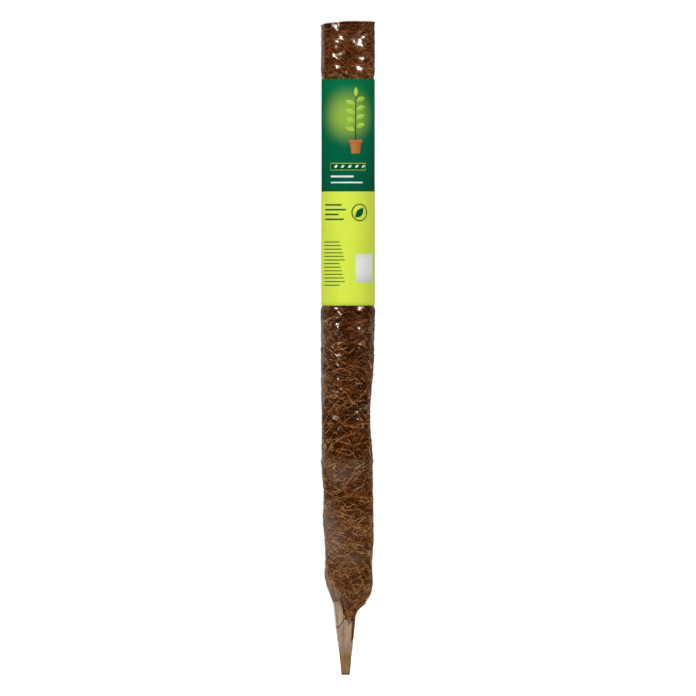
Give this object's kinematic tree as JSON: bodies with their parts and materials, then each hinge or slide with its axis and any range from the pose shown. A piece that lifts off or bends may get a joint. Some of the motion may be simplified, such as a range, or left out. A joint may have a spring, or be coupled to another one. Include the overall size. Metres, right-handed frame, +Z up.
{
  "type": "moss pole",
  "caption": "Coir-wrapped plant pole: a pointed square timber stake in rolled coir mats, bound with thread, in a clear shrunk film sleeve with a printed band.",
  "frame": {"origin": "centre of the stake's blunt point, on its end face", "axes": "+Z up along the stake, from the point to the top; -Y is the front of the printed band and +X its right"},
  "size_m": [0.0496, 0.0503, 0.6],
  "materials": {
    "timber": "sawn, unpainted",
    "coir": "rough brown fibre",
    "nylon": "clear thread",
    "film": "clear shrunk film",
    "steel_wire": "zinc-coated wire",
    "label": "printed, satin",
    "glue": "dried glue"
  },
  "bodies": {
    "root": {"wooden_stake": "timber", "coir_inner_mat": "coir", "coir_outer_mat": "coir", "binding_thread": "nylon", "film_sleeve": "film", "neck_staple": "steel_wire", "label_band": "label", "label_glue_strip": "glue"}
  },
  "joints": []
}
